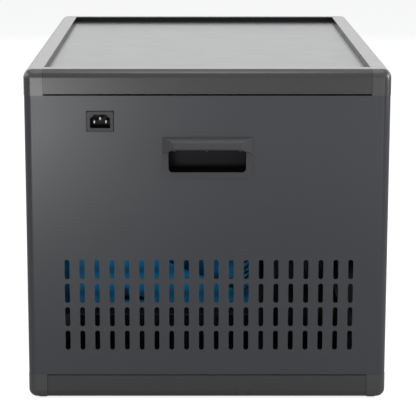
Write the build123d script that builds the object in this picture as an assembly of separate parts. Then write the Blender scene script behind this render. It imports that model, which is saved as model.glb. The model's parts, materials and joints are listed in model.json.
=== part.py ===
"""Desktop charging cabinet: a sheet-steel case in two moulded and extruded frames, with a device
compartment of sixteen bays behind a lockable front door and a service compartment behind a second
lockable door at the rear.

Millimetres. X runs along the cabinet, Y from the front door (negative) to the rear door, Z up from
the surface that the feet stand on. The origin is the middle of the footprint.
"""
from build123d import *
import os

# Case
LENGTH = 610.0
DEPTH = 436.0
FRAME_HEIGHT = 405.0
FOOT_PROUD = 1.5
SHEET = 1.2
CORNER_R = 10.0
WALL_SETBACK = 0.3

# Frame rails
RAIL_WIDTH = 23.5
RAIL_HEIGHT = 29.0
RAIL_WALL = 2.0
RAIL_LEDGE = 8.0
PANEL_DROP = 7.3
TOP_CORNER_HEIGHT = 31.0
BOTTOM_CORNER_HEIGHT = 30.0
SPIGOT_LENGTH = 16.0
SPIGOT_GAP = 0.15
PANEL_GAP = 0.15

# Side walls
RETURN_LENGTH = 22.0
STRIKE_DEPTH = 18.0
WALL_FLANGE = 14.0
CUT_THROUGH = 4.0

# Ventilation slots of a side wall
SLOT_COLUMNS = 20
SLOT_ROWS = 4
SLOT_WIDTH = 6.0
SLOT_LENGTH = 24.0
SLOT_END_CUT = 1.75
SLOT_PITCH_Y = 18.0
SLOT_PITCH_Z = 29.5
SLOT_FIELD_Y = 2.2
SLOT_TOP_ROW_Z = 162.1

# Side handles, with heights from the handle's middle
HANDLE_Z = 300.1
HANDLE_LENGTH = 107.4
HANDLE_HEIGHT = 48.2
HANDLE_FLANGE = 1.6
HANDLE_FLANGE_R = 4.0
HANDLE_SKIN = 2.2
POCKET_DEPTH = 34.0
POCKET_HALF = 46.2
POCKET_FLOOR = -18.3
POCKET_ROOF = 19.4
MOUTH_CORNER_R = 4.5
HOOD_REACH = 10.0
HOOD_TOP = 23.8
HOOD_LIP_Z = 11.4
HOOD_CHEEK_Z = 4.8
HOOD_FRONT_HALF = 39.5
HOOD_ROUNDNESS = 0.7071
HOOD_RIB_SPACING = 39.0
HOOD_RIB_T = 2.4
HOOD_RIB_FOOT_Z = 7.5
HOOD_RIB_REACH = 6.5

# Mains inlet
INLET_Y = -127.1
INLET_Z = 343.5
INLET_FLANGE = (31.0, 23.0)
INLET_FLANGE_R = 1.5
INLET_FLANGE_T = 1.8
INLET_BODY = (27.0, 19.6)
INLET_BODY_DEPTH = 24.0
INLET_CAVITY = (24.0, 16.6)
INLET_CAVITY_DEPTH = 17.0
INLET_CHAMFER = 5.0
PIN_SIZE = (2.0, 4.0)
PIN_RECESS = 3.0
PIN_TAB = 6.0
PIN_CHAMFER = 0.5
PIN_SPACING = 14.0
PIN_LINE_Z = -1.0
EARTH_PIN_Z = 3.0

# Inside
SHELF_TOP = 108.0
SHELF_T = 1.5
SHELF_LIP = 18.0
SHELF_TAB = 16.0
SHELF_TAB_HEIGHT = 12.0
SHELF_FRONT = -192.0
BULKHEAD_Y = 62.0
BULKHEAD_FOOT = 16.0
BULKHEAD_FOOT_HALF = 245.0
BULKHEAD_TOP_HALF = 270.0
CABLE_WINDOW = (12.0, 18.0)
CABLE_WINDOW_Z = 138.0

# Dividers
BAYS = 16
BAY_CLEAR = 28.0
DIVIDER_T = 3.5
DIVIDER_FRONT = -188.0
DIVIDER_HEIGHT = 215.0
DIVIDER_FRONT_CUT = (60.0, 70.0)
DIVIDER_REAR_CUT = 10.0
GUARD_FRONT_HEIGHT = 111.0
GUARD_SADDLE_HEIGHT = 12.0
GUARD_FRONT_R = 20.0
GUARD_POST_WIDTH = 16.0
GUARD_POST_HEIGHT = 82.0
GUARD_WINDOW_FRONT = -106.0
GUARD_WINDOW_LENGTH = 35.0
GUARD_WINDOW_HEIGHT = 20.0
GUARD_WINDOW_SILL = 3.0
LOUVRES = 9
LOUVRE_PITCH = 7.0
LOUVRE_WIDTH = 2.8
LOUVRE_RISE = 6.0
LOUVRE_MARGIN = 2.5

# Chargers
HUB_HALF = 246.0
HUB_LOW = 220.0
HUB_HEIGHT = 56.0
HUB_DEPTH = 42.0
PORT_OPENING = (9.0, 3.2)
PORT_DEPTH = 4.0
SUPPLY_HALF = 150.0
SUPPLY_Y = (90.0, 176.0)
SUPPLY_HEIGHT = 62.0
SUPPLY_FOOT = 16.0
SUPPLY_FOOT_T = 2.0
CASE_CHAMFER = 2.0

# Doors
DOOR_GAP = 2.4
DOOR_RAIL_GAP = 2.0
DOOR_SETBACK = 1.5
DOOR_DEPTH = 15.0
DOOR_PIVOT = 9.0
DOOR_EDGE_R = 3.0
PIVOT_PIN_R = 3.0
PIN_HEAD_R = 5.0
PIN_HEAD_T = 2.0
PIN_ENTRY = 7.0
BUSH_NECK_R = 4.0
BUSH_COLLAR_R = 6.5
BUSH_COLLAR_T = 4.0
BUSH_LENGTH = 5.2
RUNNING_CLEARANCE = 0.05
LOCK_R = 9.5
LOCK_HEAD_R = 11.0
LOCK_LENGTH = 18.0
LOCK_BODY_SIDES = 12
LOCK_NUT_R = 13.0
LOCK_NUT_T = 4.0
LOCK_FROM_EDGE = 24.0
LOCK_Z = 203.0
PLUG_R = 6.0
PLUG_LENGTH = 19.0
KEY_SLOT = (1.6, 7.0)
KEY_SLOT_DEPTH = 2.5
CAM_SQUARE = 7.0
CAM_T = 2.5
CAM_WIDTH = 16.0
CAM_LENGTH = 44.0
CAM_CORNER_CUT = 4.0

# Feet
FOOT_SIZE = 12.0
FOOT_CORNER_CUT = 2.0
FOOT_INSET = 16.5

HALF_L = LENGTH / 2
HALF_D = DEPTH / 2
FRAME_TOP = FOOT_PROUD + FRAME_HEIGHT
WALL_BOTTOM = FOOT_PROUD + BOTTOM_CORNER_HEIGHT
WALL_TOP = FRAME_TOP - TOP_CORNER_HEIGHT
WALL_OUT = HALF_L - WALL_SETBACK
WALL_IN = WALL_OUT - SHEET
BAY_PITCH = BAY_CLEAR + DIVIDER_T
RETURN_END = HALF_L - RETURN_LENGTH
DOOR_BOTTOM = FOOT_PROUD + RAIL_HEIGHT + DOOR_RAIL_GAP
DOOR_TOP = FRAME_TOP - RAIL_HEIGHT - DOOR_RAIL_GAP
FLOOR_Z = FOOT_PROUD + PANEL_DROP + SHEET
CEILING_Z = FRAME_TOP - PANEL_DROP - SHEET
POCKET_OUTER_LENGTH = 2 * (POCKET_HALF + HANDLE_SKIN)
POCKET_OUTER_HEIGHT = POCKET_ROOF - POCKET_FLOOR + 2 * HANDLE_SKIN
POCKET_MIDDLE = (POCKET_ROOF + POCKET_FLOOR) / 2


def slab(x, y, z):
    """Box from three (low, high) spans."""
    size = (x[1] - x[0], y[1] - y[0], z[1] - z[0])
    return Pos(x[0], y[0], z[0]) * Box(*size, align=(Align.MIN, Align.MIN, Align.MIN))


def mirrored_x(shape):
    """The same piece at the other end of the cabinet."""
    return mirror(shape, about=Plane.YZ)


def half_turned(shape):
    """The same piece turned half round, from the front right to the rear left."""
    return Rot(0, 0, 180) * shape


def upside_down(shape):
    """The same frame piece for the lower frame."""
    return mirror(shape, about=Plane.XY.offset(FOOT_PROUD + FRAME_HEIGHT / 2))


def rod_y(radius, front, rear):
    """Cylinder along Y between two distances behind the door's face."""
    return Pos(0, (front + rear) / 2, 0) * Rot(90, 0, 0) * Cylinder(radius, rear - front)


def rail_outline():
    """Hollow rail section, drawn as (inward, up), with the ledge that carries the panel."""
    w, h, r, t = RAIL_WIDTH, RAIL_HEIGHT, CORNER_R, RAIL_WALL
    outer = make_face(Polyline((0, 0), (w, 0), (w, h), (0, h), (0, 0)))
    outer = fillet(outer.vertices().filter_by(lambda v: v.X < t and v.Y > t), r)
    inner = make_face(Polyline((t, t), (w - t, t), (w - t, h - t), (t, h - t), (t, t)))
    inner = fillet(inner.vertices().filter_by(lambda v: v.X < 2 * t and v.Y > 2 * t), r - t)
    ledge_low = h - PANEL_DROP - SHEET - t
    ledge = Pos(w, ledge_low) * Rectangle(RAIL_LEDGE, t, align=(Align.MIN, Align.MIN))
    return outer - inner + ledge


def long_rail():
    """Upper front rail, its outer face at the front of the cabinet."""
    section = Plane(origin=(0, -HALF_D, FRAME_TOP - RAIL_HEIGHT), x_dir=(0, 1, 0), z_dir=(1, 0, 0))
    rail = extrude(section * rail_outline(), HALF_L - RAIL_WIDTH, both=True)
    return rail - Pos(*door_pivot(), FRAME_TOP - RAIL_HEIGHT) * Cylinder(PIVOT_PIN_R, CUT_THROUGH * 2)


def short_rail():
    """Upper right rail, its outer face at the right end; its ledge stops short of the long rails'."""
    section = Plane(origin=(HALF_L, 0, FRAME_TOP - RAIL_HEIGHT), x_dir=(-1, 0, 0), z_dir=(0, 1, 0))
    rail = extrude(section * rail_outline(), HALF_D - RAIL_WIDTH, both=True)
    ledge_x = (HALF_L - RAIL_WIDTH - RAIL_LEDGE, HALF_L - RAIL_WIDTH)
    ledge_end = HALF_D - RAIL_WIDTH - RAIL_LEDGE - PANEL_GAP
    heights = (FRAME_TOP - RAIL_HEIGHT, FRAME_TOP)
    rail -= slab(ledge_x, (ledge_end, HALF_D), heights)
    return rail - slab(ledge_x, (-HALF_D, -ledge_end), heights)


def corner_block(height, over_hinge):
    """Upper front corner at the right: a ball-nosed moulded block with a spigot into each rail."""
    w, r = RAIL_WIDTH, CORNER_R
    block = slab((HALF_L - w, HALF_L), (-HALF_D, -HALF_D + w), (FRAME_TOP - height, FRAME_TOP))
    upright = block.edges().filter_by(Axis.Z).sort_by(lambda e: e.center().X - e.center().Y)[-1]
    block = fillet(upright, r)
    rim = [e for e in block.faces().sort_by(Axis.Z)[-1].edges()
           if e.center().X > HALF_L - r / 2 or e.center().Y < -HALF_D + r / 2]
    block = fillet(rim, r)
    inset = RAIL_WALL + SPIGOT_GAP
    heights = (FRAME_TOP - RAIL_HEIGHT + inset, FRAME_TOP - r)
    across = (HALF_L - w + inset, HALF_L - inset)
    block += slab((HALF_L - w - SPIGOT_LENGTH, HALF_L - w), (-HALF_D + inset, -HALF_D + w - inset), heights)
    block += slab(across, (-HALF_D + w, -HALF_D + w + SPIGOT_LENGTH), heights)
    if over_hinge:
        x, y = door_pivot()
        block -= Pos(-x, y, FRAME_TOP - RAIL_HEIGHT) * Cylinder(PIN_HEAD_R + SPIGOT_GAP, 2 * RAIL_HEIGHT)
    return block


def frame_parts():
    """The eight rails of the upper and lower frames, and each frame's set of four corner blocks."""
    parts = {}
    levels = {"top": (TOP_CORNER_HEIGHT, lambda shape: shape), "bottom": (BOTTOM_CORNER_HEIGHT, upside_down)}
    for level, (corner_height, turned) in levels.items():
        plain = corner_block(corner_height, over_hinge=False)
        drilled = mirrored_x(corner_block(corner_height, over_hinge=True))
        corners = [plain, drilled, half_turned(plain), half_turned(drilled)]
        parts[f"{level}_rail_front"] = turned(long_rail())
        parts[f"{level}_rail_rear"] = turned(half_turned(long_rail()))
        parts[f"{level}_rail_right"] = turned(short_rail())
        parts[f"{level}_rail_left"] = turned(mirrored_x(short_rail()))
        parts[f"{level}_corners"] = [turned(corner) for corner in corners]
    return parts


def slot_field():
    """Cutters for one side wall's ventilation slots; a slot's round end is three flats, to keep it light."""
    outline = Rectangle(SLOT_WIDTH, SLOT_LENGTH)
    outline = chamfer(outline.vertices(), SLOT_END_CUT)
    cutter = extrude(Plane.YZ * outline, CUT_THROUGH, both=True)
    cuts = []
    for row in range(SLOT_ROWS):
        for column in range(SLOT_COLUMNS):
            y = SLOT_FIELD_Y + (column - (SLOT_COLUMNS - 1) / 2) * SLOT_PITCH_Y
            z = FOOT_PROUD + SLOT_TOP_ROW_Z - row * SLOT_PITCH_Z
            cuts.append(Pos(WALL_OUT, y, z) * cutter)
    return cuts


def handle_place():
    return Pos(WALL_OUT, 0, FOOT_PROUD + HANDLE_Z)


def inlet_place():
    return Pos(WALL_OUT, INLET_Y, FOOT_PROUD + INLET_Z)


def side_wall(with_inlet):
    """Right side wall: one bent sheet with rounded uprights and front and rear jambs."""
    inset = 2 * WALL_SETBACK
    outer = RectangleRounded(LENGTH - inset, DEPTH - inset, CORNER_R)
    inner = RectangleRounded(LENGTH - inset - 2 * SHEET, DEPTH - inset - 2 * SHEET, CORNER_R - SHEET)
    ring = extrude(Pos(0, 0, WALL_BOTTOM) * (outer - inner), WALL_TOP - WALL_BOTTOM)
    wall = ring & slab((RETURN_END, HALF_L), (-HALF_D, HALF_D), (WALL_BOTTOM, WALL_TOP))
    face = HALF_D - WALL_SETBACK
    jamb_x = (RETURN_END, RETURN_END + SHEET)
    wall += slab(jamb_x, (face - STRIKE_DEPTH, face), (WALL_BOTTOM, WALL_TOP))
    wall += slab(jamb_x, (-face, -face + STRIKE_DEPTH), (WALL_BOTTOM, WALL_TOP))
    hand_hole = Box(CUT_THROUGH, POCKET_OUTER_LENGTH, POCKET_OUTER_HEIGHT)
    wall -= handle_place() * Pos(0, 0, POCKET_MIDDLE) * hand_hole
    if with_inlet:
        wall -= inlet_place() * Box(CUT_THROUGH, *INLET_BODY)
    return wall - slot_field()


def wall_flanges():
    """Flat flanges welded inside the right side wall, along its upper and lower edges."""
    x = (WALL_IN - WALL_FLANGE, WALL_IN)
    y = (-HALF_D + RAIL_WIDTH, HALF_D - RAIL_WIDTH)
    return [slab(x, y, (low, low + SHEET)) for low in (WALL_BOTTOM, WALL_TOP - SHEET)]


def hood_form(skin):
    """Hood of the handle, less a skin: where its side view and its plan, with slanting ends, meet."""
    top, reach, half = HOOD_TOP - skin, HOOD_REACH - skin, HANDLE_LENGTH / 2 - skin
    lip = HOOD_LIP_Z - skin
    bulge = (reach * HOOD_ROUNDNESS, lip + (top - lip) * HOOD_ROUNDNESS)
    if skin > 0:
        foot = POCKET_FLOOR
        under = Polyline((reach, lip), (reach, foot), (0, foot), (0, top))
    else:
        under = Polyline((reach, lip), (0, HOOD_CHEEK_Z), (0, top))
    side = make_face([ThreePointArc((0, top), bulge, (reach, lip)), *under.edges()])
    front_half = HOOD_FRONT_HALF
    plan = make_face(Polyline((0, -half), (reach, -front_half), (reach, front_half), (0, half), (0, -half)))
    return extrude(Plane.XZ * side, half, both=True) & extrude(plan, HANDLE_HEIGHT, both=True)


def hood_ribs():
    """Stiffening ribs under the hood, before they are cut to its form."""
    rib = slab((0, HOOD_RIB_REACH), (-HOOD_RIB_T / 2, HOOD_RIB_T / 2), (HOOD_RIB_FOOT_Z, HOOD_TOP))
    return [Pos(0, place * HOOD_RIB_SPACING, 0) * rib for place in (-1, 0, 1)]


def hood():
    """Hollow hood with its ribs, standing on the flange's face."""
    shell = hood_form(0) - hood_form(HANDLE_SKIN)
    for rib in hood_ribs():
        shell += rib & hood_form(0)
    return Pos(HANDLE_FLANGE, 0, 0) * shell


def handle():
    """Right lifting handle, one moulding: flange, finger pocket and the hood over its mouth."""
    outline = RectangleRounded(HANDLE_LENGTH, HANDLE_HEIGHT, HANDLE_FLANGE_R)
    flange = extrude(Plane.YZ * outline, HANDLE_FLANGE)
    pocket = Pos(-POCKET_DEPTH / 2, 0, 0) * Box(POCKET_DEPTH, POCKET_OUTER_LENGTH, POCKET_OUTER_HEIGHT)
    mouth = RectangleRounded(2 * POCKET_HALF, POCKET_ROOF - POCKET_FLOOR, MOUTH_CORNER_R)
    mouth = Plane.YZ * Pos(0, POCKET_MIDDLE) * mouth
    cavity = extrude(mouth, HANDLE_FLANGE) + extrude(mouth, -(POCKET_DEPTH - HANDLE_SKIN))
    return handle_place() * (flange + Pos(0, 0, POCKET_MIDDLE) * pocket - cavity + hood())


def inlet_outline(size, chamfer_size):
    """Appliance inlet outline with its two upper corners cut off."""
    face = Rectangle(*size)
    return chamfer(face.vertices().sort_by(Axis.Y)[-2:], chamfer_size)


def mains_inlet():
    """Snap-in appliance inlet: flange, body and the chamfered cavity that the plug enters."""
    flange = extrude(Plane.YZ * RectangleRounded(*INLET_FLANGE, INLET_FLANGE_R), INLET_FLANGE_T)
    body = extrude(Plane.YZ * Rectangle(*INLET_BODY), -INLET_BODY_DEPTH)
    outline = Plane.YZ * inlet_outline(INLET_CAVITY, INLET_CHAMFER)
    cavity = extrude(outline, -INLET_CAVITY_DEPTH) + extrude(outline, INLET_FLANGE_T)
    return inlet_place() * (flange + body - cavity - inlet_pin_set())


def inlet_pin_set():
    """The three contact pins, from the tabs behind the body to just inside its mouth."""
    pins = []
    tip = INLET_FLANGE_T - PIN_RECESS
    root = -INLET_BODY_DEPTH - PIN_TAB
    for y, z in ((-PIN_SPACING / 2, PIN_LINE_Z), (PIN_SPACING / 2, PIN_LINE_Z), (0, EARTH_PIN_Z)):
        blade = slab((root, tip), (-PIN_SIZE[0] / 2, PIN_SIZE[0] / 2), (-PIN_SIZE[1] / 2, PIN_SIZE[1] / 2))
        blade = chamfer(blade.faces().sort_by(Axis.X)[-1].edges(), PIN_CHAMFER)
        pins.append(Pos(0, y, z) * blade)
    return pins


def panel(z):
    """Flat top or bottom sheet, lying against the rails' ledges."""
    x, y = HALF_L - RAIL_WIDTH - PANEL_GAP, HALF_D - RAIL_WIDTH - PANEL_GAP
    return slab((-x, x), (-y, y), (z, z + SHEET))


def shelf():
    """Device shelf, with a lip down at the front and a fixing tab up each wall, ahead of the slots."""
    low = SHELF_TOP - SHELF_T
    deck = slab((-WALL_IN, WALL_IN), (SHELF_FRONT, BULKHEAD_Y), (low, SHELF_TOP))
    lip_y = (SHELF_FRONT, SHELF_FRONT + SHELF_T)
    deck += slab((-WALL_IN, WALL_IN), lip_y, (SHELF_TOP - SHELF_LIP, SHELF_TOP))
    tab_y = (SHELF_FRONT, SHELF_FRONT + SHELF_TAB)
    tab = slab((WALL_IN - SHEET, WALL_IN), tab_y, (low, SHELF_TOP + SHELF_TAB_HEIGHT))
    return deck + tab + mirrored_x(tab)


def bulkhead():
    """Partition behind the bays, from the bottom sheet to the top one, with a cable window per bay."""
    y = (BULKHEAD_Y, BULKHEAD_Y + SHEET)
    sheet = slab((-WALL_IN, WALL_IN), y, (WALL_BOTTOM + SHEET, WALL_TOP - SHEET))
    sheet += slab((-BULKHEAD_TOP_HALF, BULKHEAD_TOP_HALF), y, (WALL_TOP - SHEET, CEILING_Z))
    sheet += slab((-BULKHEAD_FOOT_HALF, BULKHEAD_FOOT_HALF), y, (FLOOR_Z, WALL_BOTTOM + SHEET))
    foot_y = (BULKHEAD_Y, BULKHEAD_Y + BULKHEAD_FOOT)
    sheet += slab((-BULKHEAD_FOOT_HALF, BULKHEAD_FOOT_HALF), foot_y, (FLOOR_Z, FLOOR_Z + SHEET))
    window = Box(CABLE_WINDOW[0], CUT_THROUGH, CABLE_WINDOW[1])
    return sheet - [Pos(x, BULKHEAD_Y, CABLE_WINDOW_Z) * window for x in bay_places()]


def bay_places():
    return [(bay - (BAYS - 1) / 2) * BAY_PITCH for bay in range(BAYS)]


def device_divider():
    """Moulded divider between two bays, at X 0: its upper front corner cut back."""
    front, rear, low = DIVIDER_FRONT, BULKHEAD_Y, SHELF_TOP
    top = low + DIVIDER_HEIGHT
    cut_back, cut_down = DIVIDER_FRONT_CUT
    outline = make_face(Polyline((front, low), (rear, low), (rear, top - DIVIDER_REAR_CUT),
                                 (rear - DIVIDER_REAR_CUT, top), (front + cut_back, top),
                                 (front, top - cut_down), (front, low)))
    return extrude(Plane.YZ * outline, DIVIDER_T / 2, both=True)


def end_guard():
    """Low guard outside the last bay, at X 0: sloping top edge, cable window and a louvred rear post."""
    front, rear, low = DIVIDER_FRONT, BULKHEAD_Y, SHELF_TOP
    post = rear - GUARD_POST_WIDTH
    outline = make_face(Polyline((front, low), (rear, low), (rear, low + GUARD_POST_HEIGHT),
                                 (post, low + GUARD_POST_HEIGHT), (post, low + GUARD_SADDLE_HEIGHT),
                                 (front, low + GUARD_FRONT_HEIGHT), (front, low)))
    outline = fillet(outline.vertices().sort_by(Axis.Y)[-1], GUARD_FRONT_R)
    sill = low + GUARD_WINDOW_SILL
    window = make_face(Polyline((GUARD_WINDOW_FRONT, sill), (GUARD_WINDOW_FRONT + GUARD_WINDOW_LENGTH, sill),
                                (GUARD_WINDOW_FRONT, sill + GUARD_WINDOW_HEIGHT), (GUARD_WINDOW_FRONT, sill)))
    return extrude(Plane.YZ * (outline - window - louvres()), DIVIDER_T / 2, both=True)


def louvres():
    """Outlines of the slanting louvres of a guard's rear post."""
    near = BULKHEAD_Y - GUARD_POST_WIDTH + LOUVRE_MARGIN
    far = BULKHEAD_Y - LOUVRE_MARGIN
    cuts = []
    for step in range(LOUVRES):
        z = SHELF_TOP + GUARD_SADDLE_HEIGHT + step * LOUVRE_PITCH
        far_z = z + LOUVRE_RISE
        corners = ((near, z), (far, far_z), (far, far_z + LOUVRE_WIDTH), (near, z + LOUVRE_WIDTH), (near, z))
        cuts.append(make_face(Polyline(*corners)))
    return cuts


def divider_parts():
    """Dividers from left to right, numbered, with a guard outside the bays at each end."""
    places = [(index - BAYS / 2) * BAY_PITCH for index in range(BAYS + 1)]
    plate = device_divider()
    parts = {f"bay_divider_{index:02d}": Pos(places[index], 0, 0) * plate for index in range(1, BAYS)}
    parts["end_guard_left"] = Pos(places[0], 0, 0) * end_guard()
    parts["end_guard_right"] = Pos(places[-1], 0, 0) * end_guard()
    return parts


def charging_hub():
    """Multi-port charger behind the bulkhead, with one port per bay in its rear face."""
    front = BULKHEAD_Y + SHEET
    case = slab((-HUB_HALF, HUB_HALF), (front, front + HUB_DEPTH), (HUB_LOW, HUB_LOW + HUB_HEIGHT))
    case = chamfer(case.faces().sort_by(Axis.Y)[-1].edges(), CASE_CHAMFER)
    port = Box(PORT_OPENING[0], 2 * PORT_DEPTH, PORT_OPENING[1])
    return case - [Pos(x, front + HUB_DEPTH, HUB_LOW + HUB_HEIGHT / 2) * port for x in bay_places()]


def power_supply():
    """Mains power supply on the bottom sheet, with its mounting feet."""
    front, rear = SUPPLY_Y
    case = slab((-SUPPLY_HALF, SUPPLY_HALF), SUPPLY_Y, (FLOOR_Z, FLOOR_Z + SUPPLY_HEIGHT))
    case = chamfer(case.faces().sort_by(Axis.Z)[-1].edges(), CASE_CHAMFER)
    foot_x = (-SUPPLY_HALF - SUPPLY_FOOT, SUPPLY_HALF + SUPPLY_FOOT)
    for y in (front + SUPPLY_FOOT, rear - SUPPLY_FOOT):
        foot_y = (y - SUPPLY_FOOT / 2, y + SUPPLY_FOOT / 2)
        case += slab(foot_x, foot_y, (FLOOR_Z, FLOOR_Z + SUPPLY_FOOT_T))
    return case


def door_pivot():
    """Hinge axis of the front door, as (x, y)."""
    return (-RETURN_END + DOOR_GAP + DOOR_PIVOT, -HALF_D + DOOR_SETBACK + DOOR_PIVOT)


def lock_place():
    """Middle of the front lock, on the door's outer face."""
    return Pos(RETURN_END - DOOR_GAP - LOCK_FROM_EDGE, -HALF_D + DOOR_SETBACK, FOOT_PROUD + LOCK_Z)


def door():
    """Front door pan, hinged at the left: face, returns, rounded uprights, bush holes and lock hole."""
    width = (-RETURN_END + DOOR_GAP, RETURN_END - DOOR_GAP)
    face = -HALF_D + DOOR_SETBACK
    solid = slab(width, (face, face + DOOR_DEPTH), (DOOR_BOTTOM, DOOR_TOP))
    uprights = solid.edges().filter_by(Axis.Z).sort_by(Axis.Y)[:2].sort_by(Axis.X)
    solid = fillet(uprights[0], DOOR_PIVOT)
    uprights = solid.edges().filter_by(Axis.Z).filter_by(lambda e: e.center().Y < face + DOOR_EDGE_R)
    solid = fillet(uprights.sort_by(Axis.X)[-1], DOOR_EDGE_R)
    pan = offset(solid, -SHEET, openings=solid.faces().sort_by(Axis.Y)[-1])
    pan -= Pos(*door_pivot(), (DOOR_BOTTOM + DOOR_TOP) / 2) * Cylinder(BUSH_NECK_R, FRAME_HEIGHT)
    return pan - lock_place() * rod_y(LOCK_R, -CUT_THROUGH, CUT_THROUGH)


def door_bushes():
    """Flanged bushes in the door's upper and lower returns."""
    bore = Cylinder(PIVOT_PIN_R + RUNNING_CLEARANCE, 4 * BUSH_LENGTH)
    neck = Pos(0, 0, BUSH_LENGTH / 2) * Cylinder(BUSH_NECK_R, BUSH_LENGTH)
    collar = Pos(0, 0, SHEET + BUSH_COLLAR_T / 2) * Cylinder(BUSH_COLLAR_R, BUSH_COLLAR_T)
    bush = neck + collar - bore
    lower = Pos(*door_pivot(), DOOR_BOTTOM) * bush
    upper = Pos(*door_pivot(), DOOR_TOP) * mirror(bush, about=Plane.XY)
    return [lower, upper]


def hinge_pins():
    """Headed pivot pins, one down through the upper rail and one up through the lower rail."""
    rail_floor = RAIL_WALL - RAIL_HEIGHT
    tip = DOOR_TOP - PIN_ENTRY - FRAME_TOP
    head = Pos(0, 0, rail_floor + PIN_HEAD_T / 2) * Cylinder(PIN_HEAD_R, PIN_HEAD_T)
    shank = Pos(0, 0, (rail_floor + tip) / 2) * Cylinder(PIVOT_PIN_R, rail_floor - tip)
    upper = Pos(*door_pivot(), FRAME_TOP) * (head + shank)
    return [upper, upside_down(upper)]


def lock_barrel():
    """Lock body in the door: its head flush with the frame, its nut behind the door's sheet."""
    body = rod_y(LOCK_HEAD_R, -DOOR_SETBACK, 0)
    body += Pos(0, LOCK_LENGTH, 0) * extrude(Plane.XZ * RegularPolygon(LOCK_R, LOCK_BODY_SIDES), LOCK_LENGTH)
    nut = Pos(0, SHEET + LOCK_NUT_T, 0) * extrude(Plane.XZ * RegularPolygon(LOCK_NUT_R, 6), LOCK_NUT_T)
    return lock_place() * (body + nut - rod_y(PLUG_R + RUNNING_CLEARANCE, -LOCK_LENGTH, 2 * LOCK_LENGTH))


def lock_plug():
    """Turning plug with its key slot and the square end that carries the cam."""
    square = CAM_SQUARE / 2
    plug = rod_y(PLUG_R, -DOOR_SETBACK, PLUG_LENGTH)
    plug -= Pos(0, -DOOR_SETBACK, 0) * Box(KEY_SLOT[0], 2 * KEY_SLOT_DEPTH, KEY_SLOT[1])
    plug += slab((-square, square), (PLUG_LENGTH, PLUG_LENGTH + CAM_T), (-square, square))
    return lock_place() * plug


def lock_cam():
    """Latch cam on the plug's square end, upright while the door is unlocked."""
    arm = Pos(0, (CAM_LENGTH - CAM_WIDTH) / 2) * Rectangle(CAM_WIDTH, CAM_LENGTH)
    arm = chamfer(arm.vertices(), CAM_CORNER_CUT)
    arm = extrude(Plane.XZ * (arm - Rectangle(CAM_SQUARE, CAM_SQUARE)), -CAM_T)
    return lock_place() * Pos(0, PLUG_LENGTH, 0) * arm


def rubber_feet():
    """Feet under the lower corner blocks."""
    outline = Rectangle(FOOT_SIZE, FOOT_SIZE)
    pad = extrude(chamfer(outline.vertices(), FOOT_CORNER_CUT), FOOT_PROUD)
    x, y = HALF_L - FOOT_INSET, HALF_D - FOOT_INSET
    return [Pos(side * x, end * y, 0) * pad for side in (-1, 1) for end in (-1, 1)]


def door_parts():
    """Both doors with their hinges and locks; the rear one is the front one turned half round."""
    front = {"door": door(), "door_bushes": door_bushes(), "hinge_pins": hinge_pins(),
             "lock_barrel": lock_barrel(), "lock_plug": lock_plug(), "lock_cam": lock_cam()}
    parts = {}
    for name, shape in front.items():
        pieces = shape if isinstance(shape, list) else [shape]
        parts[f"front_{name}"] = pieces
        parts[f"rear_{name}"] = [half_turned(piece) for piece in pieces]
    return parts


def build():
    """Every piece of the cabinet, by its name."""
    parts = frame_parts()
    parts["side_wall_right"] = side_wall(with_inlet=True)
    parts["side_wall_left"] = mirrored_x(side_wall(with_inlet=False))
    parts["wall_flanges_right"] = wall_flanges()
    parts["wall_flanges_left"] = [mirrored_x(flange) for flange in wall_flanges()]
    parts["handle_right"] = handle()
    parts["handle_left"] = mirrored_x(handle())
    parts["mains_inlet"] = mains_inlet()
    parts["inlet_pins"] = [inlet_place() * pin for pin in inlet_pin_set()]
    parts["top_panel"] = panel(CEILING_Z)
    parts["bottom_panel"] = panel(FOOT_PROUD + PANEL_DROP)
    parts["device_shelf"] = shelf()
    parts["rear_bulkhead"] = bulkhead()
    parts["charging_hub"] = charging_hub()
    parts["power_supply"] = power_supply()
    parts["rubber_feet"] = rubber_feet()
    return parts | divider_parts() | door_parts()


def write(parts):
    os.makedirs("parts", exist_ok=True)
    for name, shape in parts.items():
        pieces = shape if isinstance(shape, list) else [shape]
        solid = Compound(children=pieces) if len(pieces) > 1 else pieces[0]
        export_step(solid, f"parts/{name}.step")


write(build())
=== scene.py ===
"""Looks of the desktop charging cabinet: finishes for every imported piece, the small fasteners and
fittings, and a pale studio round it. Metres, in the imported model's frame."""
import json
import math

import bmesh
import bpy
from mathutils import Matrix, Vector


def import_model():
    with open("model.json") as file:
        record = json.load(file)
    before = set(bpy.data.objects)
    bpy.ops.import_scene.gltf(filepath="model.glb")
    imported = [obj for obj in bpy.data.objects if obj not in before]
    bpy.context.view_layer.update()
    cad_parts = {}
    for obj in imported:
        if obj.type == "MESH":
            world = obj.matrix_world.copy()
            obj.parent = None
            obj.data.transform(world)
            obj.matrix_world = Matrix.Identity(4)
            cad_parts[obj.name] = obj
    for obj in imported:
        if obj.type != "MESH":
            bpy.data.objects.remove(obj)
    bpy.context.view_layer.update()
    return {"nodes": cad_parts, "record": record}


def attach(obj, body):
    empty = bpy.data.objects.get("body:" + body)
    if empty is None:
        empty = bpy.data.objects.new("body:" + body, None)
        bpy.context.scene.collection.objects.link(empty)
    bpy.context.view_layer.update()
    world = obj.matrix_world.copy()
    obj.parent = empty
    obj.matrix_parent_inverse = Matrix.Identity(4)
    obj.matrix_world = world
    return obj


# Camera before the right end, looking along -X and a little down
CAMERA_PLACE = (2.2504, -0.0163, 0.6752)
CAMERA_PITCH_DEG = 10.90
CAMERA_AZIMUTH_DEG = 90
CAMERA_LENS_MM = 144.1
CAMERA_SENSOR_MM = 36.0
CAMERA_SHIFT = (0.0347, -0.12)
CAMERA_REACH = 50.0

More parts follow.
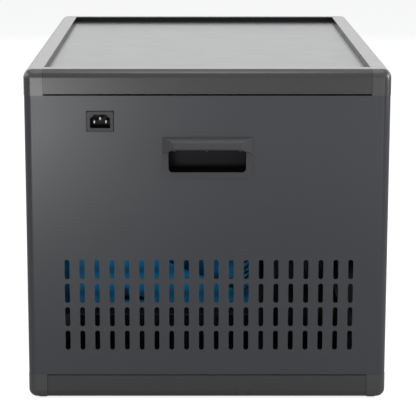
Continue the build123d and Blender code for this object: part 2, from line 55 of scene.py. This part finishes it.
# Studio. Gloss share: how much of its white the floor shows in mirrors
FLOOR_SIZE = 16.0
FLOOR_GLOW = 0.85
FLOOR_GLOSS_SHARE = 0.15
FLOOR_COLOUR = (0.6, 0.6, 0.6)
AMBIENT = 0.12
AMBIENT_COLOUR = (0.94, 0.97, 1.0)

# Soft boxes: name, place, point aimed at, width and height, watts
LIGHTS = (
    ("low_left", (2.0, -0.55, 0.08), (0.305, -0.20, 0.36), (0.5, 0.3), 10.7),
    ("low_middle", (2.0, 0.15, 0.08), (0.305, 0.10, 0.36), (0.5, 0.3), 0.86),
    ("low_right", (1.5, 0.55, 0.12), (0.305, 0.20, 0.10), (0.3, 0.3), 1.0),
    ("right_strip", (0.48, 0.85, 0.50), (0.305, 0.21, 0.30), (0.06, 0.3), 3.2),
    ("left_high", (0.55, -0.90, 0.80), (0.305, -0.05, 0.31), (0.3, 0.3), 1.5),
    ("over_handle", (0.60, 0.0, 1.50), (0.31, 0.0, 0.32), (0.5, 0.5), 4.5),
    ("top", (-0.2, 0.0, 2.4), (0.0, 0.0, 0.4), (1.6, 1.6), 8.0),
    ("back", (-3.2, 0.0, 1.3), (0.0, 0.0, 0.4), (3.4, 1.2), 12.0),
    ("front_fill", (-0.5, -2.2, 1.1), (0.0, 0.0, 0.2), (1.2, 1.2), 14.0),
    ("rear_fill", (-0.5, 2.2, 1.1), (0.0, 0.0, 0.2), (1.2, 1.2), 14.0),
)

# Colours of paints, plastics and metals, linear
CASE_GREY = (0.050, 0.052, 0.058)
RAIL_GREY = (0.050, 0.050, 0.051)
CORNER_GREY = (0.048, 0.048, 0.050)
HANDLE_GREY = (0.074, 0.074, 0.078)
# Painted shade: near-black for the handle's finger pocket, where the shade falls
POCKET_PAINTED_SHADE = (0.004, 0.004, 0.004)
INNER_BLACK = (0.030, 0.030, 0.031)
HOUSING_BLACK = (0.030, 0.030, 0.031)
DIVIDER_BLUE = (0.0, 0.45, 1.0)
RUBBER_BLACK = (0.010, 0.010, 0.010)
TONGUE_WHITE = (0.70, 0.70, 0.68)
LAMP_GREEN = (0.05, 0.45, 0.12)
# Black of the open joints, and painted shade on the top recess's inner wall and on the inside sheets' ends
# by the walls
JOINT_AND_SHADE_BLACK = (0.006, 0.006, 0.007)
NYLON = (0.62, 0.60, 0.55)
STEEL = (0.52, 0.52, 0.53)
NICKEL = (0.34, 0.33, 0.31)
CHROME = (0.82, 0.82, 0.83)
WHITE = (1.0, 1.0, 1.0)

# Detail of the finishes. Scales are features in a metre, heights are of the relief, and swings are how
# far the shade (as a share of itself) and the roughness wander
NOISE_SPAN = (0.3, 0.7)
PAINT_SHADE_SCALE = 7.0
PAINT_ROUGH_SCALE = 25.0
PAINT_PEEL_SCALE = 1100.0
PAINT_PEEL_HEIGHT = 0.0000008
PAINT_SHADE_SWING = 0.012
PAINT_ROUGH_SWING = 0.006
PLASTIC_SHADE_SCALE = 25.0
PLASTIC_ROUGH_SCALE = 60.0
PLASTIC_GRAIN_SCALE = 1800.0
PLASTIC_GRAIN_HEIGHT = 0.000002
PLASTIC_SHADE_SWING = 0.02
PLASTIC_ROUGH_SWING = 0.01
METAL_LINE_SCALE = 700.0
METAL_LINE_HEIGHT = 0.000006
METAL_SHADE_SWING = 0.06
METAL_ROUGH_FALL = 0.06
METAL_ROUGH_RISE = 0.08
RUBBER_SHADE_SCALE = 60.0
RUBBER_GRAIN_SCALE = 900.0
RUBBER_GRAIN_HEIGHT = 0.00004
RUBBER_SHADE_SWING = 0.15
RUBBER_ROUGH = 0.8

# Frame, side walls and inlet
WALL_OUT = 0.3047
# X beyond which the inside sheets take painted shade
SHEET_SHADE_FROM_X = 0.3005
# X of the long rails' joints with the corners, also the plane of the top recess's inner wall, which is
# painted as shade
RAIL_JOINT_AND_RECESS_X = 0.2815
RAIL_JOINT_Y = 0.1945
JOINT_HALF_WIDTH = 0.00045
INLET_CENTRE = (-0.1271, 0.345)
# Painted shadow round the inlet's flange: its outer size, thickness and width
INLET_SHADOW_SIZE = (0.0328, 0.0248)
INLET_SHADOW_THICK = 0.0006
INLET_SHADOW_WIDTH = 0.0020

# Louvre bars on the end guards. Rise: how far a bar climbs from its front end to its rear end
GUARD_FACE_X = 0.25375
LOUVRES = 8
LOUVRE_Y = (0.0435, 0.0605)
LOUVRE_FIRST_Z = 0.1215
LOUVRE_PITCH = 0.0070
LOUVRE_RISE = 0.0095
LOUVRE_SIZE = (0.0008, 0.0030)

# Bulkhead and its cable windows, one behind each bay
BAYS = 16
BAY_PITCH = 0.0315
BULKHEAD_FRONT = 0.0620
BULKHEAD_REAR = 0.0632
WINDOW_SIZE = (0.012, 0.018)
WINDOW_Z = 0.138
GROMMET_LIP = 0.0016
GROMMET_PROUD = 0.0012
GROMMET_EDGE = 0.0004

# Charging hub: contact tongues in its ports, lamps above them
HUB_REAR = 0.1052
HUB_Z = 0.248
PORT_DEPTH = 0.004
TONGUE_HALF_WIDTH = 0.0032
TONGUE_BELOW = 0.0004
TONGUE_ABOVE = 0.0006
TONGUE_SETBACK = 0.0006
TONGUE_EDGE = 0.0001
LAMP_RISE = 0.012
LAMP_RADIUS = 0.0014
LAMP_SEGMENTS = 16
LAMP_RINGS = 8

# Power supply and the fins on its lid
SUPPLY_TOP = 0.072
SUPPLY_HALF = (0.15, 0.043)
SUPPLY_MIDDLE_Y = 0.133
SUPPLY_FOOT_TOP = 0.012
FIN_COUNT = 11
FIN_HEIGHT = 0.004
FIN_SUNK = 0.0005
FIN_THICK = 0.0016
FIN_EDGE = 0.0004
FIN_END_MARGIN = 0.012
FIN_SIDE_MARGIN = 0.006

# Screw heads. Rows are shares of the head's radius and height, from the seat up and into the cross
SCREW_SIDES = 24
SCREW_ROWS = ((1.0, -0.2), (1.0, 0.3), (0.88, 0.75), (0.62, 1.0))
CROSS_ROWS = ((1.0, 1.0), (0.75, 0.35))
CROSS_ARMS = 4
CROSS_ARM = 0.52
CROSS_CORNER = 0.17
SCREW_RADIUS = 0.0036
SCREW_HEIGHT = 0.0022
HUB_SCREW_RADIUS = 0.0028
SMALL_SCREW_RADIUS = 0.003
LOW_SCREW_HEIGHT = 0.0011

# Where the screws sit
SUPPLY_SCREW_X = (-0.158, 0.158)
SUPPLY_SCREW_Y = (0.106, 0.160)
HUB_SCREW_X = (-0.238, -0.08, 0.08, 0.238)
HUB_SCREW_Z = (0.227, 0.269)
BULKHEAD_SCREW_X = (-0.24, -0.08, 0.08, 0.24)
BULKHEAD_SCREW_Z = (0.350, 0.115)
BASE_SCREW_X = (-0.24, -0.12, 0.0, 0.12, 0.24)
BASE_SCREW_Y = (-0.205, 0.205)
BASE_UNDERSIDE = 0.0015

# Softened edges of the blocks
EDGE_SEGMENTS = 2
EDGE_PROFILE = 0.7

BOTH_SIDES = (-1, 1)


def new_material(name):
    """Material with its shader and an object-space coordinate socket."""
    material = bpy.data.materials.new(name)
    material.use_nodes = True
    tree = material.node_tree
    shader = tree.nodes["Principled BSDF"]
    place = tree.nodes.new("ShaderNodeTexCoord").outputs["Object"]
    return material, tree, shader, place


def noise(tree, place, scale, detail=4.0, stretch=(1.0, 1.0, 1.0)):
    """Noise factor, with features of about one over scale metres."""
    mapping = tree.nodes.new("ShaderNodeMapping")
    mapping.inputs["Scale"].default_value = stretch
    texture = tree.nodes.new("ShaderNodeTexNoise")
    texture.inputs["Scale"].default_value = scale
    texture.inputs["Detail"].default_value = detail
    tree.links.new(place, mapping.inputs["Vector"])
    tree.links.new(mapping.outputs["Vector"], texture.inputs["Vector"])
    return texture.outputs["Fac"]


def spread(tree, factor, low, high):
    """Maps a noise factor's usual span to a span of values."""
    node = tree.nodes.new("ShaderNodeMapRange")
    node.clamp = False
    node.inputs["From Min"].default_value = NOISE_SPAN[0]
    node.inputs["From Max"].default_value = NOISE_SPAN[1]
    node.inputs["To Min"].default_value = low
    node.inputs["To Max"].default_value = high
    tree.links.new(factor, node.inputs["Value"])
    return node.outputs["Result"]


def shaded_colour(tree, shader, factor, colour, swing):
    """Colour that varies by a share of itself with a noise factor."""
    mix = tree.nodes.new("ShaderNodeMix")
    mix.data_type = "RGBA"
    tree.links.new(spread(tree, factor, 0.0, 1.0), mix.inputs["Factor"])
    mix.inputs["A"].default_value = (*[level * (1 - swing) for level in colour], 1)
    mix.inputs["B"].default_value = (*[level * (1 + swing) for level in colour], 1)
    tree.links.new(mix.outputs["Result"], shader.inputs["Base Color"])


def relief(tree, shader, factor, height):
    """Bump of a real height in metres."""
    bump = tree.nodes.new("ShaderNodeBump")
    bump.inputs["Distance"].default_value = height
    bump.inputs["Strength"].default_value = 1.0
    tree.links.new(factor, bump.inputs["Height"])
    tree.links.new(bump.outputs["Normal"], shader.inputs["Normal"])


def recoloured(tree, mask, colour):
    """Puts another colour where a mask is 1, over the base colour that the shader has."""
    shader = tree.nodes["Principled BSDF"]
    base = shader.inputs["Base Color"].links[0].from_socket
    mix = tree.nodes.new("ShaderNodeMix")
    mix.data_type = "RGBA"
    tree.links.new(mask, mix.inputs["Factor"])
    tree.links.new(base, mix.inputs["A"])
    mix.inputs["B"].default_value = (*colour, 1)
    tree.links.new(mix.outputs["Result"], shader.inputs["Base Color"])


def math_node(tree, operation, first, second=None):
    """Math node on a socket and a socket or number."""
    node = tree.nodes.new("ShaderNodeMath")
    node.operation = operation
    tree.links.new(first, node.inputs[0])
    if isinstance(second, (int, float)):
        node.inputs[1].default_value = second
    elif second is not None:
        tree.links.new(second, node.inputs[1])
    return node.outputs[0]


def from_middle(tree, axis):
    """Distance from the cabinet's middle plane along an axis."""
    place = tree.nodes.new("ShaderNodeTexCoord").outputs["Object"]
    parts = tree.nodes.new("ShaderNodeSeparateXYZ")
    tree.links.new(place, parts.inputs[0])
    return math_node(tree, "ABSOLUTE", parts.outputs[axis])


def joint_and_recess_shade_mask(tree):
    """1 in the narrow open joints between the rails and the corners, and on the top recess's inner wall,
    which lies in the same plane across X and is painted shade.
    """
    masks = []
    # Across X this plane is also the top recess's inner wall, so the black there is painted shade
    for axis, distance in (("X", RAIL_JOINT_AND_RECESS_X), ("Y", RAIL_JOINT_Y)):
        away = math_node(tree, "SUBTRACT", from_middle(tree, axis), distance)
        masks.append(math_node(tree, "LESS_THAN", math_node(tree, "ABSOLUTE", away), JOINT_HALF_WIDTH))
    return math_node(tree, "MAXIMUM", *masks)


def paint(name, colour, rough, gloss=0.3):
    """Powder coat: fine orange peel, and a slow drift in shade and roughness."""
    material, tree, shader, place = new_material(name)
    shader.inputs["Specular IOR Level"].default_value = gloss
    shade = noise(tree, place, PAINT_SHADE_SCALE, detail=1.0)
    shaded_colour(tree, shader, shade, colour, PAINT_SHADE_SWING)
    drift = noise(tree, place, PAINT_ROUGH_SCALE, detail=1.0)
    roughness = spread(tree, drift, rough - PAINT_ROUGH_SWING, rough + PAINT_ROUGH_SWING)
    tree.links.new(roughness, shader.inputs["Roughness"])
    relief(tree, shader, noise(tree, place, PAINT_PEEL_SCALE, detail=2.0), PAINT_PEEL_HEIGHT)
    return material


def plastic(name, colour, rough, gloss=0.5):
    """Moulded plastic with a spark-eroded grain."""
    material, tree, shader, place = new_material(name)
    shader.inputs["Specular IOR Level"].default_value = gloss
    shade = noise(tree, place, PLASTIC_SHADE_SCALE)
    shaded_colour(tree, shader, shade, colour, PLASTIC_SHADE_SWING)
    drift = noise(tree, place, PLASTIC_ROUGH_SCALE)
    roughness = spread(tree, drift, rough - PLASTIC_ROUGH_SWING, rough + PLASTIC_ROUGH_SWING)
    tree.links.new(roughness, shader.inputs["Roughness"])
    relief(tree, shader, noise(tree, place, PLASTIC_GRAIN_SCALE, detail=1.0), PLASTIC_GRAIN_HEIGHT)
    return material


def metal(name, colour, rough, stretch=(1.0, 1.0, 1.0)):
    """Plated metal with a fine grain, drawn out into lines along an axis of small stretch."""
    material, tree, shader, place = new_material(name)
    shader.inputs["Metallic"].default_value = 1.0
    lines = noise(tree, place, METAL_LINE_SCALE, detail=2.0, stretch=stretch)
    shaded_colour(tree, shader, lines, colour, METAL_SHADE_SWING)
    roughness = spread(tree, lines, rough - METAL_ROUGH_FALL, rough + METAL_ROUGH_RISE)
    tree.links.new(roughness, shader.inputs["Roughness"])
    relief(tree, shader, lines, METAL_LINE_HEIGHT)
    return material


def rubber(name):
    """Matt black rubber with a coarse grain."""
    material, tree, shader, place = new_material(name)
    shaded_colour(tree, shader, noise(tree, place, RUBBER_SHADE_SCALE), RUBBER_BLACK, RUBBER_SHADE_SWING)
    shader.inputs["Roughness"].default_value = RUBBER_ROUGH
    relief(tree, shader, noise(tree, place, RUBBER_GRAIN_SCALE), RUBBER_GRAIN_HEIGHT)
    return material


def jointed_and_recess_shaded(material):
    """Rail or corner finish, black in the open joints between them, and black as painted shade on the inner
    wall of the top panel's recess.
    """
    recoloured(material.node_tree, joint_and_recess_shade_mask(material.node_tree), JOINT_AND_SHADE_BLACK)
    return material


def moulded_handle(name):
    """Handle plastic: satin outside, and near-black painted shade in the finger pocket behind the wall's
    face.
    """
    material = plastic(name, HANDLE_GREY, rough=0.40, gloss=0.12)
    tree = material.node_tree
    # Painted shade: the handle behind the wall's face, inside the finger pocket, turns near-black
    recoloured(tree, math_node(tree, "LESS_THAN", from_middle(tree, "X"), WALL_OUT), POCKET_PAINTED_SHADE)
    return material


def inner_coat(name):
    """Black paint of the inside sheets, darker still as painted shade on the ends that lie against the
    walls.
    """
    material = paint(name, INNER_BLACK, rough=0.65, gloss=0.1)
    tree = material.node_tree
    # Painted shade: the sheets' ends within a few millimetres of the walls turn near-black
    recoloured(tree, math_node(tree, "GREATER_THAN", from_middle(tree, "X"), SHEET_SHADE_FROM_X), JOINT_AND_SHADE_BLACK)
    return material


def finishes():
    """One finish for each material slot of the record."""
    return {
        "case_paint": paint("case_paint", CASE_GREY, rough=0.30),
        "inner_paint": inner_coat("inner_paint"),
        "rail_paint": jointed_and_recess_shaded(paint("rail_paint", RAIL_GREY, rough=0.28)),
        "corner_plastic": jointed_and_recess_shaded(plastic("corner_plastic", CORNER_GREY, rough=0.30)),
        "black_plastic": moulded_handle("black_plastic"),
        "divider_plastic": plastic("divider_plastic", DIVIDER_BLUE, rough=0.45, gloss=0.25),
        "charger_plastic": plastic("charger_plastic", HOUSING_BLACK, rough=0.65, gloss=0.25),
        "contact_metal": metal("contact_metal", NICKEL, rough=0.35),
        "hinge_steel": metal("hinge_steel", STEEL, rough=0.32, stretch=(1.0, 1.0, 0.05)),
        "bush_nylon": plastic("bush_nylon", NYLON, rough=0.45),
        "lock_chrome": metal("lock_chrome", CHROME, rough=0.12),
        "foot_rubber": rubber("foot_rubber"),
    }


def dress_nodes(frame, looks):
    """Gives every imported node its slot's finish."""
    for part in frame["record"]["subparts"]:
        data = frame["nodes"][part["node"]].data
        data.materials.clear()
        data.materials.append(looks[part["material_slot"]])


def finished(mesh, name, material, body):
    """Piece from a bmesh, which rides on a body and takes a slot's finish."""
    bmesh.ops.recalc_face_normals(mesh, faces=mesh.faces)
    data = bpy.data.meshes.new(name)
    mesh.to_mesh(data)
    mesh.free()
    piece = bpy.data.objects.new(name, data)
    bpy.context.collection.objects.link(piece)
    data.materials.append(material)
    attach(piece, body)


def block(mesh, low, high, edge=0.0):
    """Box between two corners, with softened edges."""
    corners = bmesh.ops.create_cube(mesh, size=1.0)["verts"]
    low, high = Vector(low), Vector(high)
    size = high - low
    for corner in corners:
        corner.co = Vector([low[i] + (corner.co[i] + 0.5) * size[i] for i in range(3)])
    if edge > 0:
        edges = list({link for corner in corners for link in corner.link_edges})
        bmesh.ops.bevel(mesh, geom=edges, offset=edge, segments=EDGE_SEGMENTS, profile=EDGE_PROFILE,
                        affect="EDGES")


def strip(middle, half, width, side):
    """Lower and upper bound of a strip of some width along one side of an opening."""
    return sorted((middle + side * half, middle + side * (half - width)))


def cross_share(index):
    """Outline of a screw's cross recess, as a share of the head's radius."""
    spacing = SCREW_SIDES // CROSS_ARMS
    step = index % spacing
    return CROSS_ARM if min(step, spacing - step) <= 1 else CROSS_CORNER


def screw(mesh, place, axis, radius, height):
    """Pan-head screw with a cross recess, standing on a surface along an axis."""
    turn = Vector(axis).to_track_quat("Z", "Y").to_matrix().to_4x4()
    seat = Matrix.Translation(place) @ turn
    rings = []
    for share, level in SCREW_ROWS:
        rings.append([(share * radius, level * height)] * SCREW_SIDES)
    for share, level in CROSS_ROWS:
        rings.append([(cross_share(i) * share * radius, level * height) for i in range(SCREW_SIDES)])
    loops = []
    for ring in rings:
        loop = []
        for i, (reach, rise) in enumerate(ring):
            angle = 2 * math.pi * i / SCREW_SIDES
            point = Vector((reach * math.cos(angle), reach * math.sin(angle), rise))
            loop.append(mesh.verts.new(seat @ point))
        loops.append(loop)
    for lower, upper in zip(loops, loops[1:]):
        for i in range(SCREW_SIDES):
            j = (i + 1) % SCREW_SIDES
            mesh.faces.new((lower[i], lower[j], upper[j], upper[i]))
    mesh.faces.new(loops[-1])
    mesh.faces.new(loops[0][::-1])


def screw_set(name, places, axis, looks, radius=SCREW_RADIUS, height=SCREW_HEIGHT):
    """One piece of several like screws."""
    mesh = bmesh.new()
    for place in places:
        screw(mesh, place, axis, radius, height)
    finished(mesh, name, looks["hinge_steel"], "cabinet")


def bay_places():
    """X of each bay's middle."""
    return [(bay - (BAYS - 1) / 2) * BAY_PITCH for bay in range(BAYS)]


def inlet_shadow_ring(looks):
    """Thin dark rubber frame round the inlet's flange, a painted shadow that shows as a dark line where the
    shadow gap falls.
    """
    mesh = bmesh.new()
    y, z = INLET_CENTRE
    half_y, half_z = INLET_SHADOW_SIZE[0] / 2, INLET_SHADOW_SIZE[1] / 2
    back, face = WALL_OUT, WALL_OUT + INLET_SHADOW_THICK
    for side in BOTH_SIDES:
        across = strip(y, half_y, INLET_SHADOW_WIDTH, side)
        block(mesh, (back, across[0], z - half_z), (face, across[1], z + half_z))
        up = strip(z, half_z, INLET_SHADOW_WIDTH, side)
        block(mesh, (back, y - half_y, up[0]), (face, y + half_y, up[1]))
    finished(mesh, "inlet_shadow_ring", looks["foot_rubber"], "cabinet")


def louvre_bars(looks):
    """Slanting black bars across the rear posts of the end guards."""
    mesh = bmesh.new()
    thick, tall = LOUVRE_SIZE
    front_y, rear_y = LOUVRE_Y
    for side in BOTH_SIDES:
        near, far = side * GUARD_FACE_X, side * (GUARD_FACE_X + thick)
        for step in range(LOUVRES):
            low = LOUVRE_FIRST_Z + step * LOUVRE_PITCH
            high = low + LOUVRE_RISE
            slant = [(front_y, low), (rear_y, high), (rear_y, high + tall), (front_y, low + tall)]
            back = [mesh.verts.new((near, y, z)) for y, z in slant]
            front = [mesh.verts.new((far, y, z)) for y, z in slant]
            mesh.faces.new(back)
            mesh.faces.new(front[::-1])
            for i in range(len(slant)):
                j = (i + 1) % len(slant)
                mesh.faces.new((back[i], front[i], front[j], back[j]))
    finished(mesh, "louvre_bars", looks["inner_paint"], "cabinet")


def window_grommets(looks):
    """Rubber edging round the bulkhead's cable windows."""
    mesh = bmesh.new()
    half_x, half_z = WINDOW_SIZE[0] / 2, WINDOW_SIZE[1] / 2
    front, rear = BULKHEAD_FRONT - GROMMET_PROUD, BULKHEAD_REAR + GROMMET_PROUD
    for x in bay_places():
        for side in BOTH_SIDES:
            across = strip(x, half_x, GROMMET_LIP, side)
            low, high = (across[0], front, WINDOW_Z - half_z), (across[1], rear, WINDOW_Z + half_z)
            block(mesh, low, high, edge=GROMMET_EDGE)
            up = strip(WINDOW_Z, half_z, GROMMET_LIP, side)
            block(mesh, (x - half_x, front, up[0]), (x + half_x, rear, up[1]), edge=GROMMET_EDGE)
    finished(mesh, "window_grommets", looks["foot_rubber"], "cabinet")


def port_tongues():
    """Contact tongues in the hub's ports."""
    mesh = bmesh.new()
    for x in bay_places():
        low = (x - TONGUE_HALF_WIDTH, HUB_REAR - PORT_DEPTH, HUB_Z - TONGUE_BELOW)
        high = (x + TONGUE_HALF_WIDTH, HUB_REAR - TONGUE_SETBACK, HUB_Z + TONGUE_ABOVE)
        block(mesh, low, high, edge=TONGUE_EDGE)
    finished(mesh, "port_tongues", plastic("port_white", TONGUE_WHITE, rough=0.4), "cabinet")


def port_lamps():
    """Round charging lamps above the hub's ports."""
    mesh = bmesh.new()
    for x in bay_places():
        place = Matrix.Translation((x, HUB_REAR, HUB_Z + LAMP_RISE))
        seat = place @ Matrix.Rotation(-math.pi / 2, 4, "X")
        bmesh.ops.create_uvsphere(mesh, u_segments=LAMP_SEGMENTS, v_segments=LAMP_RINGS, radius=LAMP_RADIUS,
                                  matrix=seat)
    green = plastic("lamp_green", LAMP_GREEN, rough=0.25)
    finished(mesh, "port_lamps", green, "cabinet")


def supply_fins(looks):
    """Cooling fins along the power supply's lid."""
    mesh = bmesh.new()
    half_x = SUPPLY_HALF[0] - FIN_END_MARGIN
    half_y = SUPPLY_HALF[1] - FIN_SIDE_MARGIN
    for step in range(FIN_COUNT):
        y = SUPPLY_MIDDLE_Y + (2 * step / (FIN_COUNT - 1) - 1) * half_y
        low = (-half_x, y - FIN_THICK / 2, SUPPLY_TOP - FIN_SUNK)
        high = (half_x, y + FIN_THICK / 2, SUPPLY_TOP + FIN_HEIGHT)
        block(mesh, low, high, edge=FIN_EDGE)
    finished(mesh, "supply_fins", looks["charger_plastic"], "cabinet")


def fasteners(looks):
    """Screws of the inside fittings, and those under the bottom rails."""
    supply = [(x, y, SUPPLY_FOOT_TOP) for x in SUPPLY_SCREW_X for y in SUPPLY_SCREW_Y]
    screw_set("supply_screws", supply, (0, 0, 1), looks)
    hub = [(x, HUB_REAR, z) for x in HUB_SCREW_X for z in HUB_SCREW_Z]
    screw_set("hub_screws", hub, (0, 1, 0), looks, radius=HUB_SCREW_RADIUS)
    bulkhead = [(x, BULKHEAD_FRONT, z) for x in BULKHEAD_SCREW_X for z in BULKHEAD_SCREW_Z]
    screw_set("bulkhead_screws", bulkhead, (0, -1, 0), looks, radius=SMALL_SCREW_RADIUS)
    under = [(x, y, BASE_UNDERSIDE) for y in BASE_SCREW_Y for x in BASE_SCREW_X]
    screw_set("base_screws", under, (0, 0, -1), looks, radius=SMALL_SCREW_RADIUS, height=LOW_SCREW_HEIGHT)


def background_share(tree, mirrored=1.0):
    """1 for camera rays that see the background, and a share for those by way of a mirror or glass."""
    path = tree.nodes.new("ShaderNodeLightPath")
    share = path.outputs["Is Camera Ray"]
    for kind in ("Is Glossy Ray", "Is Transmission Ray"):
        part = math_node(tree, "MULTIPLY", path.outputs[kind], mirrored)
        share = math_node(tree, "MAXIMUM", share, part)
    return share


def studio_world():
    """World that is white to the camera and in mirrors, and lights the rest faintly."""
    world = bpy.data.worlds.new("studio")
    world.use_nodes = True
    bpy.context.scene.world = world
    tree = world.node_tree
    ambient = tree.nodes["Background"]
    ambient.inputs["Color"].default_value = (*AMBIENT_COLOUR, 1)
    ambient.inputs["Strength"].default_value = AMBIENT
    white = tree.nodes.new("ShaderNodeBackground")
    white.inputs["Color"].default_value = (*WHITE, 1)
    mix = tree.nodes.new("ShaderNodeMixShader")
    tree.links.new(background_share(tree), mix.inputs["Fac"])
    tree.links.new(ambient.outputs[0], mix.inputs[1])
    tree.links.new(white.outputs[0], mix.inputs[2])
    tree.links.new(mix.outputs[0], tree.nodes["World Output"].inputs["Surface"])


def studio_floor():
    """White floor: it glows for the camera, and keeps the object's shadow."""
    bpy.ops.mesh.primitive_plane_add(size=FLOOR_SIZE)
    floor = bpy.context.object
    floor.name = "floor"
    material = bpy.data.materials.new("floor")
    material.use_nodes = True
    tree = material.node_tree
    shader = tree.nodes["Principled BSDF"]
    shader.inputs["Base Color"].default_value = (*FLOOR_COLOUR, 1)
    shader.inputs["Roughness"].default_value = 1.0
    shader.inputs["Specular IOR Level"].default_value = 0.0
    shader.inputs["Emission Color"].default_value = (*WHITE, 1)
    glow = math_node(tree, "MULTIPLY", background_share(tree, FLOOR_GLOSS_SHARE), FLOOR_GLOW)
    tree.links.new(glow, shader.inputs["Emission Strength"])
    floor.data.materials.append(material)


def area_light(name, place, target, size, power):
    """Soft box that the camera itself doesn't see."""
    data = bpy.data.lights.new(name, "AREA")
    data.shape = "RECTANGLE"
    data.size, data.size_y = size
    data.energy = power
    light = bpy.data.objects.new(name, data)
    light.location = place
    light.rotation_euler = (Vector(target) - Vector(place)).to_track_quat("-Z", "Y").to_euler()
    light.visible_camera = False
    bpy.context.collection.objects.link(light)


def camera():
    """Camera at the photograph's viewing angle."""
    data = bpy.data.cameras.new("camera")
    data.lens = CAMERA_LENS_MM
    data.sensor_width = CAMERA_SENSOR_MM
    data.shift_x, data.shift_y = CAMERA_SHIFT
    data.clip_end = CAMERA_REACH
    item = bpy.data.objects.new("camera", data)
    item.location = CAMERA_PLACE
    item.rotation_euler = (math.radians(90 - CAMERA_PITCH_DEG), 0, math.radians(CAMERA_AZIMUTH_DEG))
    bpy.context.collection.objects.link(item)
    bpy.context.scene.camera = item


def main():
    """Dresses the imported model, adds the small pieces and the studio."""
    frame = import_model()
    bpy.context.scene.view_settings.view_transform = "Standard"
    looks = finishes()
    dress_nodes(frame, looks)
    inlet_shadow_ring(looks)
    louvre_bars(looks)
    window_grommets(looks)
    port_tongues()
    port_lamps()
    supply_fins(looks)
    fasteners(looks)
    studio_world()
    studio_floor()
    for light in LIGHTS:
        area_light(*light)
    camera()


main()
